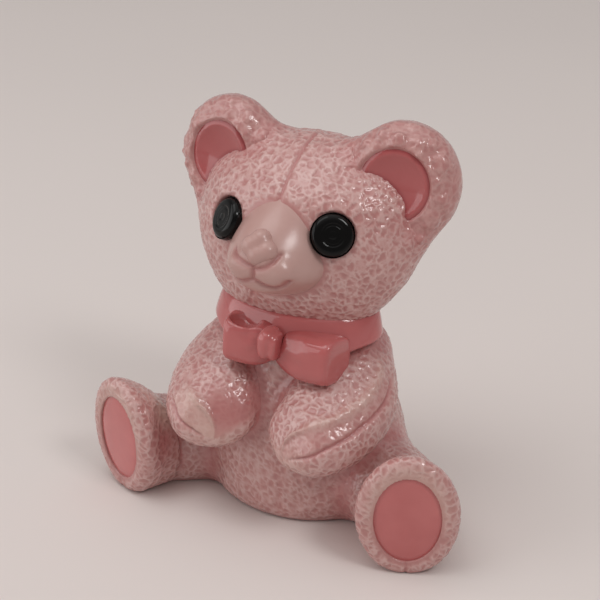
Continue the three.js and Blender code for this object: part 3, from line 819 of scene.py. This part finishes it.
def fur_glaze(group):
    """Paler on the curls, pinker between them, darker where blush and painted shade are laid on, paler
    where cream and a painted highlight are laid on.
    """
    glaze, tree, shader = new_material("curly_fur_glaze")

    def painted(name):
        return add(tree, "ShaderNodeAttribute", attribute_name=name).outputs["Fac"]

    curls = colour_ramp(tree, painted("curl"), [(at, paint(*colour)) for at, colour in FUR_COLOURS])
    blushed_and_shaded = mix_colours(tree, painted("blush_and_shade"), curls, paint(*FUR_BLUSH_AND_SHADE))
    creamed_and_highlighted = mix_colours(tree, painted("cream_and_highlight"), blushed_and_shaded, paint(*FUR_CREAM_AND_HIGHLIGHT))
    deeper = mix_colours(tree, FUR_POOL_SHARE, creamed_and_highlighted, paint(*FUR_POOL))
    out = pooled(tree, group, creamed_and_highlighted, deeper, size=8.0, smoothest=0.12, roughest=0.24)
    finish_glaze(tree, shader, out["Colour"], out, bump=0.15)
    return glaze


def plain_glaze(name, group, colours, size, smoothest, roughest, bump, coat=GLAZE_COAT):
    """A smooth glaze of a thin and a thick colour, and a third where blush and painted shade are laid
    on.
    """
    thin, thick, deepest = (paint(*colour) for colour in colours)
    glaze, tree, shader = new_material(name)
    out = pooled(tree, group, thin, thick, size, smoothest, roughest)
    blush_and_shade = add(tree, "ShaderNodeAttribute", attribute_name="blush_and_shade").outputs["Fac"]
    colour = mix_colours(tree, blush_and_shade, out["Colour"], deepest)
    finish_glaze(tree, shader, colour, out, bump, coat)
    return glaze


pool = make_pool_group()
fur = fur_glaze(pool)
deep_pink = plain_glaze(
    "deep_pink_glaze", pool, ((198, 112, 111), (186, 99, 98), (152, 62, 64)),
    size=22.0, smoothest=0.08, roughest=0.16, bump=0.06)
pale_pink = plain_glaze(
    "pale_pink_glaze", pool, ((191, 155, 148), (184, 143, 136), (164, 100, 97)),
    size=18.0, smoothest=0.23, roughest=0.26, bump=0.01, coat=0.0)
black = plain_glaze(
    "black_glaze", pool, ((8, 6, 6), (5, 4, 4), (4, 3, 3)),
    size=12.0, smoothest=0.06, roughest=0.1, bump=0.02, coat=0.0)
black.node_tree.nodes["Principled BSDF"].inputs["Specular IOR Level"].default_value = BLACK_SHINE


def mirrored(points, faces):
    return points * MIRROR, faces[:, ::-1]


def furred(node, points, faces, looks):
    piece(node + "_skin", points, faces, fur, node, "fur_glaze", looks)


# Head and ears
def dish(block, push):
    """The hollow in the front of the left ear, pushed forward by a lining's thickness."""
    place = block.local(EAR_CENTRE, EAR_TURN, EAR_LEAN)
    shift = (LINING_INSET, EAR_HALF_THICKNESS + push, LINING_DROP)
    half = (LINING_RADIUS, LINING_SINK, LINING_RADIUS)
    return block.egg([p + s for p, s in zip(place, shift)], half)


def polyline_distance(x, z, points):
    """Distance in the front view from each cell to a line through points."""
    best = None
    for (ax, az), (bx, bz) in zip(points[:-1], points[1:]):
        px, pz, dx, dz = x - ax, z - az, bx - ax, bz - az
        share = np.clip((px * dx + pz * dz) / (dx * dx + dz * dz), 0, 1)
        gap = np.hypot(px - share * dx, pz - share * dz)
        best = gap if best is None else np.minimum(best, gap)
    return best


# Left and right eye: the right one sits a little lower and faces further out
EYES = (
    (EYE_CENTRE, EYE_TURN),
    (EYE_CENTRE * MIRROR + RIGHT_EYE_SHIFT, -RIGHT_EYE_TURN),
)

# Lines pressed into the snout, as seen from the front: across and up
GROOVE = ((0.0, 110.5), (-0.3, 104.7))
SMILE = ((0.0, 104.4), (1.6, 103.9), (4.2, 102.6), (7.4, 101.8), (9.9, 102.7), (11.6, 104.6))
NOSTRIL = ((0.3, 108.4), (1.2, 108.5), (4.3, 109.6), (6.6, 111.3), (7.6, 113.0))
LIP_CREASE = ((0.0, 109.4), (2.3, 109.4), (5.3, 110.1), (7.7, 110.7), (10.0, 111.6))

# Lobes of the nose: aside, back and up, as shares of the room there is
NOSE_LOBES = ((-1.2, 0.05, 0.0), (1.35, 0.05, -0.16), (0.0, -0.15, -0.42), (0.0, 0.32, 0.36))


def build_head():
    block = Block((-64, -66, 72), (64, 26, 158), HEAD_CELL)
    head = block.form(head_form())
    ear_disc = block.form(ear_form())
    muzzle = block.form(muzzle_form())
    bowl = dish(block, 0.0)
    left_ear = np.maximum(ear_disc, -bowl)
    right_ear = left_ear[::-1]
    lining = np.maximum(ear_disc + LINING_STEP, bowl - LINING_TUCK)
    lining = np.maximum(lining, -dish(block, LINING_THICKNESS))
    lining = np.maximum(lining, -(head + LINING_SEAT))
    group = head
    for ear, hollow in ((left_ear, bowl), (right_ear, bowl[::-1])):
        fillet = np.clip(EAR_FILLET_SLOPE * hollow, EAR_FILLET_LEAST, EAR_FILLET)
        group = melt(group, ear, fillet)
    ears = np.minimum(left_ear, right_ear)
    for centre, turn in EYES:
        across, deep, up = block.local(centre, turn, EYE_LIFT)
        socket = np.hypot(across, up) - EYE_RADIUS - SOCKET_CLEARANCE
        group = -melt(-group, np.maximum(socket, deep - EYE_SEAT), SOCKET_FILLET)

    def looks(points, is_ear=False):
        x, y, z = points.T
        from_ears = np.abs(block.read(head, points) - block.read(ears, points))
        crease = 1 - fade(from_ears, 0, EAR_CREASE_WIDTH)
        bare = fade(block.read(muzzle, points), 1.6, 0.2)
        lumpy = np.zeros(len(points))
        if is_ear:
            from_lining = block.read(np.minimum(lining, lining[::-1]), points)
            bare = np.maximum(bare, fade(from_lining, 1.2, 0.3))
            lumpy = EAR_LUMP_HEIGHT * fade(from_lining, 10, 4) * fade(from_lining, 0.3, 2)
        for centre, _ in EYES:
            gap = np.linalg.norm(points - centre, axis=1) - EYE_RADIUS
            bare = np.maximum(bare, fade(gap, 1.0, 0.0))
        seam = np.exp(-(x / BROW_SEAM_WIDTH) ** 2)
        seam = seam * fade(z, *BROW_SEAM_LOW) * fade(-y, *BROW_SEAM_BACK)
        # Painted shade: darker in the crease where the ears join the head and along the brow seam
        return {
            "fur": (1 - bare) * (1 - 0.7 * seam) * (EAR_FUR_SHARE if is_ear else 1.0),
            "free": 1 - bare,
            "lift": -BROW_SEAM_DEPTH * seam,
            "lumpy": lumpy,
            "blush_and_shade": 0.3 * crease + 0.45 * seam,
            "cream_and_highlight": np.zeros(len(points)),
        }

    points, faces = block.skin(tucked(group, head - ears))
    furred("head", points, faces, looks(points))
    points, faces = block.skin(tucked(group, left_ear - np.minimum(head, right_ear)))
    furred("left_ear", points, faces, looks(points, is_ear=True))
    points, faces = mirrored(points, faces)
    furred("right_ear", points, faces, looks(points, is_ear=True))

    points, faces = block.skin(lining)
    # Painted shade: the lining is deepened all over, partly its own deeper pink and partly shade under
    # the ear's rim, and darker again at its edge and next to the head
    rim = fade(block.read(bowl, points), -1.1, -0.1)
    rim = np.maximum(rim, fade(block.read(head, points), 1.5, 0))
    edge = {"blush_and_shade": 0.55 + 0.4 * rim}
    for side, skin in (("left", (points, faces)), ("right", mirrored(points, faces))):
        piece(side + "_ear_inlay", *skin, deep_pink, side + "_ear_lining", "deep_pink_glaze", edge)


def build_face():
    block = Block((-28, -66, 82), (28, -14, 138), FINE_CELL)
    head = block.form(head_form())
    muzzle = block.form(muzzle_form())
    groove = polyline_distance(block.x, block.z, GROOVE)
    for across, line in ((np.abs(block.x), SMILE), (-block.x, LIP_CREASE), (block.x, NOSTRIL)):
        groove = np.minimum(groove, polyline_distance(across, block.z, line))
    cheek = block.about(LIP_CENTRE)
    cheek[0] = np.abs(block.x) - LIP_CENTRE[0]
    face = melt(blurred(muzzle, 2), block.egg(cheek, LIP_HALF), LIP_FILLET)
    front = block.y < MOUTH_FRONT
    line = np.exp(-(groove / MOUTH_WIDTH) ** 2) * front
    # Painted shade: the snout's pressed lines are painted darker in a band a little wider than the
    # grooves
    groove_shade = np.exp(-(groove / (MOUTH_SHADE_SHARE * MOUTH_WIDTH)) ** 2) * front
    points, faces = block.skin(np.maximum(face + MOUTH_DEPTH * line, -(head + SEAT)))
    shade = {"blush_and_shade": 0.75 * block.read(groove_shade, points)}
    piece("muzzle_face", points, faces, pale_pink, "muzzle", "pale_pink_glaze", shade)

    lobe = NOSE_LOBE_SHARE * NOSE_HALF_WIDTH
    room = np.array((NOSE_HALF_WIDTH - lobe, NOSE_HALF_WIDTH, NOSE_HALF_WIDTH))
    nose = None
    for spot in NOSE_LOBES:
        ball = block.egg(block.about(NOSE_CENTRE + spot * room), (lobe, lobe, lobe))
        nose = ball if nose is None else melt(nose, ball, NOSE_FILLET)
    points, faces = block.skin(blurred(nose.astype(np.float32), 1))
    piece("nose_button", points, faces, pale_pink, "nose", "pale_pink_glaze")


# Eyes
def build_eyes():
    ring, width, dome = EYE_RING_RADIUS, EYE_RING_WIDTH, EYE_DOME
    profile = [
        (0.9 * EYE_RADIUS, -EYE_DEPTH),
        (EYE_RADIUS, -0.8 * EYE_DEPTH),
        (EYE_RADIUS, -0.3 * EYE_DEPTH),
        (0.97 * EYE_RADIUS, -1.3 * dome),
        (0.9 * EYE_RADIUS, -0.3 * dome),
        (0.78 * EYE_RADIUS, 0.3 * dome),
        (ring + 0.5 * width, 0.48 * dome),
        (ring + 0.1 * width, 0.36 * dome),
        (ring - 0.3 * width, 0.36 * dome),
        (ring - 0.5 * width, 0.42 * dome),
        (EYE_DOT_RADIUS + 0.4, 0.44 * dome),
        (EYE_DOT_RADIUS - 0.4, 0.34 * dome),
        (0.2, 0.34 * dome),
    ]
    table = smooth(profile, np.linspace(0, 1, 110))
    angle = round_angles(72)
    rings = rings_of(table[:, :1] * np.cos(angle), -table[:, 1:], table[:, :1] * np.sin(angle))
    ends = [np.array((0.0, EYE_DEPTH, 0.0)), np.array((0.0, -0.34 * dome, 0.0))]
    for side, (centre, turn) in zip(("left", "right"), EYES):
        way = facing(turn, EYE_LIFT)
        skin = loft(rings @ way.T + centre, *[way @ end + centre for end in ends])
        solid_piece(side + "_eye_button", *skin, black, side + "_eye", "black_glaze")


def solid_piece(name, points, triangles, quads, glaze, node, slot):
    """A lofted piece, with its quads split into triangles and every face outward."""
    faces = np.concatenate([triangles, quads[:, (0, 1, 2)], quads[:, (0, 2, 3)]])
    a, b, c = (points[faces[:, k]] - points.mean(0) for k in range(3))
    if np.einsum("ij,ij->i", a, np.cross(b, c)).sum() < 0:
        faces = faces[:, ::-1]
    piece(name, points, faces, glaze, node, slot)


# Torso, arms and legs. The mitten edge and the seam below it: share along the arm, degrees round it
ARM_RIDGE = ((0.2, 58), (0.27, 60), (0.48, 64), (0.64, 69), (0.79, 77), (0.93, 104))
ARM_SEAM = ((0.3, 40), (0.41, 40), (0.57, 44), (0.74, 38), (0.91, 33), (1.0, 28))


def arm_place(points):
    """Share along the arm, and the angle round it in degrees, for points on the left arm."""
    share = np.linspace(0, 1, 80)
    centre, side, rise, half, tall = strung(arm_stations(), share)
    nearest = np.empty(len(points), int)
    batch = 20000
    for start in range(0, len(points), batch):
        gaps = points[start:start + batch, None] - centre[None]
        nearest[start:start + batch] = (gaps ** 2).sum(2).argmin(1)
    off = points - centre[nearest]
    across = np.einsum("ij,ij->i", off, side[nearest]) / half[nearest]
    up = np.einsum("ij,ij->i", off, rise[nearest]) / tall[nearest]
    return share[nearest], np.degrees(np.arctan2(up, across))


def arm_marks(points, side):
    """Mitten edge and seam, on the right arm only near the paw, which has a bare patch."""
    share, angle = arm_place(points * np.array((side, 1.0, 1.0)))
    off_ridge = angle - np.interp(share, *zip(*ARM_RIDGE))
    off_seam = angle - np.interp(share, *zip(*ARM_SEAM))
    ridge = np.exp(-(off_ridge / ARM_RIDGE_DEGREES) ** 2)
    ridge = ridge * fade(share, 0.15, 0.35) * fade(share, 0.98, 0.85)
    seam = np.exp(-(off_seam / ARM_SEAM_DEGREES) ** 2)
    seam = seam * fade(share, 0.25, 0.4) * fade(share, 0.99, 0.9)
    between = fade(off_seam, -2, 4) * fade(off_ridge, 3, -6) * fade(share, 0.2, 0.4)
    bare = np.zeros(len(points))
    cream_and_highlight = 0.3 * fade(share, 0.85, 1.0)
    if side < 0:
        near_paw = fade(share, 0.6, 0.75)
        ridge, seam, between = ridge * near_paw, seam * near_paw, between * near_paw
        bare = fade(share, 0.6, 0.85) * fade(angle, 70, 102) * (1 - fade(angle, 150, 180))
        cream_and_highlight = cream_and_highlight + 0.4 * between
    # Painted shade darkens the seam groove; the bare patch is deep pink of its own. A painted
    # highlight pales the mitten edge's ridge, and the paw's end is paler as cream and painted
    # highlight
    return {
        "fur": (1 - 0.8 * seam) * (1 - 0.35 * between) * (1 - 0.7 * bare),
        "lift": ARM_RIDGE_HEIGHT * ridge - ARM_SEAM_DEPTH * seam,
        "blush_and_shade": 0.6 * seam + 0.5 * bare,
        "cream_and_highlight": cream_and_highlight + 0.4 * ridge,
    }


def foot_marks(points, side):
    """Ankle crease and seam under the sole, painted darker as painted shade, and a darker and a paler
    patch on the foot's inner side.
    """
    x, y, z = ((points * np.array((side, 1.0, 1.0)) - SOLE_CENTRE) @ facing(SOLE_TURN, 0)).T
    ankle = np.exp(-((y - FOOT_THICKNESS) / ANKLE_CREASE_WIDTH) ** 2) * fade(z, -21, -12)
    seam = np.exp(-(x / SOLE_SEAM_WIDTH) ** 2) * fade(-z, 17.5, 19) * fade(y, 12, 5)
    thick = np.exp(-((y - 10) / 5) ** 2 - ((z - 2) / 9) ** 2) * fade(-x, 4, 10)
    thin = np.exp(-((y - 14) / 4) ** 2 - ((z - 12) / 5) ** 2) * fade(-x, 2, 8)
    return {
        "fur": 1.0,
        "lift": -ANKLE_CREASE_DEPTH * ankle - SOLE_SEAM_DEPTH * seam,
        "blush_and_shade": 0.6 * ankle + 0.4 * seam + 0.8 * thick,
        "cream_and_highlight": thin,
    }


def build_body(cell, limbs_only):
    """The torso, or the arms and legs, cut from the same joined forms."""
    block = Block((-84, -73, -3), (84, 24, 96), cell)
    torso = block.form(torso_form())
    mitten = limb(drawn_in(arm_stations(), PAW_ROUNDING))
    arm = block.form(mitten, PAW_ROUNDING)
    ahead = sum(axis * part for axis, part in zip((block.x, block.y, block.z), PAW_FACE))
    paw_end = (mitten[0] @ PAW_FACE).max() + PAW_ROUNDING - PAW_FLAT
    arm = -melt(-arm, paw_end - ahead, PAW_FILLET)
    leg = blurred(block.form(limb(leg_stations(), upright=True)), 4)
    arms, legs = np.minimum(arm, arm[::-1]), np.minimum(leg, leg[::-1])
    group = torso
    for one, fillet in ((leg, LEG_FILLET), (arm, ARM_FILLET)):
        group = melt(melt(group, one, fillet), one[::-1], fillet)
    group = np.maximum(group, -block.z)

    across, deep, up = block.local(SOLE_CENTRE, SOLE_TURN, 0)
    oval = (np.hypot(across / PAD_HALF_WIDTH, up / PAD_HALF_HEIGHT) - 1) * PAD_HALF_WIDTH
    pocket = np.maximum(oval - PAD_CLEARANCE, deep - PAD_SINK - PAD_THICKNESS)
    sole = np.maximum(oval, np.abs(deep) - PAD_REACH)
    drill = np.hypot(block.x, block.y + POUR_HOLE_FORWARD) - POUR_HOLE_RADIUS
    drill = np.maximum(drill, block.z - HOLLOW_HEIGHT / 2)
    middle = (block.x, block.y + POUR_HOLE_FORWARD, block.z - HOLLOW_HEIGHT)
    hollow = np.minimum(drill, block.egg(middle, HOLLOW_HALF))

    def looks(points, marks):
        forms = [block.read(form, points) for form in (torso, arm, arm[::-1], leg, leg[::-1])]
        nearest = np.sort(np.stack(forms), axis=0)
        # Painted shade: darker in the creases where the arms and legs meet the torso
        crease = 1 - fade(nearest[1] - nearest[0], 0, LIMB_CREASE_WIDTH)
        pad = np.minimum(block.read(sole, points), block.read(sole[::-1], points))
        z = points[:, 2]
        furry = fade(pad, 0.5, 2.2) * (1 - 0.45 * crease) * fade(z, 0.3, 2.5)
        # Paler round each pad, more so higher up: cream glaze and painted light on the rims
        cream_and_highlight = 0.5 * fade(pad, 6, 1) * fade(z, 8, 40)
        none = np.zeros(len(points))
        return {
            "fur": furry * marks.get("fur", 1.0),
            "free": fade(pad, 0.2, 1.5) * fade(z, 0.2, 2.0),
            "lift": none + marks.get("lift", 0.0),
            "lumpy": none,
            "blush_and_shade": np.clip(0.5 * crease + marks.get("blush_and_shade", 0.0), 0, 1),
            "cream_and_highlight": np.clip(cream_and_highlight + marks.get("cream_and_highlight", 0.0), 0, 1),
        }

    if not limbs_only:
        part = tucked(group, torso - np.minimum(arms, legs))
        points, faces = block.skin(np.maximum(part, -hollow))
        furred("torso", points, faces, looks(points, {}))
        return
    arm_skin = block.skin(tucked(group, arm - np.minimum(torso, legs)))
    leg_skin = block.skin(np.maximum(tucked(group, leg - np.minimum(torso, arms)), -pocket))
    for kind, skin, marked in (("arm", arm_skin, arm_marks), ("leg", leg_skin, foot_marks)):
        for side, way, (points, faces) in (("left", 1, skin), ("right", -1, mirrored(*skin))):
            furred(side + "_" + kind, points, faces, looks(points, marked(points, way)))


def build_pads():
    profile = [
        (1.0, PAD_SINK + PAD_THICKNESS),
        (1.06, PAD_SINK + 0.8 * PAD_THICKNESS),
        (1.06, PAD_SINK + 0.2 * PAD_THICKNESS),
        (0.98, PAD_SINK + 0.05),
        (0.88, PAD_SINK - 0.25),
        (0.7, PAD_SINK - 0.45),
        (0.4, PAD_SINK - 0.6),
        (0.02, PAD_SINK - 0.65),
    ]
    table = smooth(profile, np.linspace(0, 1, 60))
    angle = round_angles(96)
    rings = rings_of(
        PAD_HALF_WIDTH * table[:, :1] * np.cos(angle), table[:, 1:],
        PAD_HALF_HEIGHT * table[:, :1] * np.sin(angle))
    turn = facing(SOLE_TURN, 0)
    ends = [np.array((0.0, row[1], 0.0)) for row in (table[0], table[-1])]
    ends = [turn @ end + SOLE_CENTRE for end in ends]
    points, *faces = loft(rings @ turn.T + SOLE_CENTRE, *ends)
    for side, placed in (("left_foot_pad", points), ("right_foot_pad", points * MIRROR)):
        solid_piece(side + "_face", placed, *faces, deep_pink, side, "deep_pink_glaze")


# Ribbon and bow. Pleats, as seen from the front: distance from the knot's middle, and height
PLEATS = (((4.5, 75.5), (10.0, 77.2)), ((4.5, 72.5), (9.5, 70.4)))


def build_ribbon():
    block = Block((-44, -64, 56), (44, 12, 94), FINE_CELL)
    torso = block.form(torso_form())
    head = block.form(head_form())
    band = block.form(ribbon_form())
    left_skin = loop_form(LEFT_LOOP_LENGTH)
    right_points, *right_faces = loop_form(BOW_LENGTH)
    about_knot = np.array((2 * KNOT_CENTRE[0], 0, RIGHT_LOOP_RISE))
    right_skin = (right_points * MIRROR + about_knot, *right_faces)
    low_edge = RIBBON_LOW + RIBBON_SIDE_RISE * fade(np.abs(block.x), *RIBBON_SIDE)
    band = np.maximum(band, low_edge - block.z)
    band = np.maximum(np.maximum(blurred(band, 3), -(torso + SEAT)), -(head + SEAT))
    points, faces = block.skin(band)
    # Painted shade: the band is darker towards its lower edge, where it tucks against the torso, and a
    # little deeper all over
    piece("ribbon_band", points, faces, deep_pink, "neck_ribbon", "deep_pink_glaze",
          {"blush_and_shade": 0.2 + 0.3 * fade(points[:, 2], RIBBON_LOW + 6, RIBBON_LOW)})

    aside = np.abs(block.x - KNOT_CENTRE[0])
    pleats = np.minimum(*(polyline_distance(aside, block.z, pleat) for pleat in PLEATS))
    pleats = PLEAT_DEPTH * np.exp(-(pleats / PLEAT_WIDTH) ** 2) * (block.y < KNOT_CENTRE[1])
    recess = block.egg(block.about(RECESS_CENTRE), RECESS_HALF)
    for side, skin in (("left", left_skin), ("right", right_skin)):
        loop = blurred((block.form(skin) + pleats).astype(np.float32), 5)
        if side == "right":
            loop = -melt(-loop, recess, RECESS_FILLET)
        points, faces = block.skin(blurred(np.maximum(loop, -(band + SEAT)), 2))
        # Painted shade: each loop is darker next to the knot and along its lower part
        out = np.abs(points[:, 0] - KNOT_CENTRE[0])
        shade = {"blush_and_shade": 0.22 + 0.4 * fade(out, 9, 4) + 0.25 * fade(points[:, 2], 68, 62)}
        node = side + "_bow_loop"
        piece(side + "_bow_puff", points, faces, deep_pink, node, "deep_pink_glaze", shade)

    centre = KNOT_CENTRE + KNOT_SHIFT
    place = block.about(centre)
    near = sum(np.abs(p / h) ** 3 for p, h in zip(place, KNOT_HALF)) ** (1 / 3)
    off_fold = place[0] - KNOT_FOLD_LEAN * place[2] - KNOT_FOLD_ASIDE
    fold = np.exp(-(off_fold / KNOT_FOLD_WIDTH) ** 2)
    knot = (near - 1) * KNOT_HALF.min() + KNOT_FOLD_DEPTH * fold
    points, faces = block.skin(blurred(knot.astype(np.float32), 2))
    # Painted shade: the knot is darker at its sides, in the creases against the loops
    piece("bow_knot_roll", points, faces, deep_pink, "bow_knot", "deep_pink_glaze",
          {"blush_and_shade": 0.1 + 0.4 * fade(np.abs(points[:, 0] - centre[0]), 3, 4.3)})


build_head()
build_face()
build_eyes()
build_body(TORSO_CELL, limbs_only=False)
build_body(FINE_CELL, limbs_only=True)
build_pads()
build_ribbon()

fur_tree = curly_fur_tree()
for name, (thing, node, slot) in pieces.items():
    if name.endswith("_skin"):
        grow_fur(thing, fur_tree, fur)
    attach(thing, "root")
    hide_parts(node)


# Floor, light and camera
def build_floor():
    bpy.ops.mesh.primitive_plane_add(size=FLOOR_SIZE, location=(0, 0, -FLOOR_DROP))
    floor = bpy.context.object
    floor.name = "studio_floor"
    sheet, tree, shader = new_material("studio_sheet")
    place = add(tree, "ShaderNodeTexCoord").outputs["Object"]
    tone = mix_colours(tree, noise(tree, place, 3.0, 2.0), paint(220, 210, 206), paint(224, 214, 210))
    tree.links.new(tone, shader.inputs["Base Color"])
    shader.inputs["Roughness"].default_value = FLOOR_ROUGHNESS
    floor.data.materials.append(sheet)


def area_light(name, place, aim_height, size, power):
    lamp = bpy.data.lights.new(name, "AREA")
    lamp.shape = "RECTANGLE"
    lamp.size, lamp.size_y = size
    lamp.energy = power
    thing = bpy.data.objects.new(name, lamp)
    thing.location = place
    way = Vector((0, 0, aim_height)) - Vector(place)
    thing.rotation_euler = way.to_track_quat("-Z", "Y").to_euler()
    bpy.context.scene.collection.objects.link(thing)


def build_lights():
    world = bpy.data.worlds.new("studio_air")
    world.use_nodes = True
    tree = world.node_tree
    way = add(tree, "ShaderNodeTexCoord").outputs["Generated"]
    height = add(tree, "ShaderNodeSeparateXYZ", {"Vector": way}).outputs["Z"]
    rows = [(place, (*(level * AIR_TINT), 1.0)) for place, level in AIR_LEVELS]
    glow = colour_ramp(tree, height, rows)
    tree.links.new(glow, tree.nodes["Background"].inputs["Color"])
    bpy.context.scene.world = world
    for light in LIGHTS:
        area_light(*light)


def build_camera():
    turn, rise = math.radians(CAMERA_TURN), math.radians(CAMERA_RISE)
    level = math.cos(rise)
    ahead = np.array((-math.sin(turn) * level, math.cos(turn) * level, -math.sin(rise)))
    camera = bpy.data.cameras.new("photo_view")
    camera.sensor_width = 36.0
    camera.lens = CAMERA_LENS
    camera.clip_start = 0.01
    thing = bpy.data.objects.new("photo_view", camera)
    thing.location = (CAMERA_AIM - CAMERA_DISTANCE * ahead + FIGURE_SHIFT) * MM
    thing.rotation_euler = Vector(ahead).to_track_quat("-Z", "Y").to_euler()
    bpy.context.scene.collection.objects.link(thing)
    bpy.context.scene.camera = thing


build_floor()
build_lights()
build_camera()
bpy.context.scene.view_settings.view_transform = "Standard"
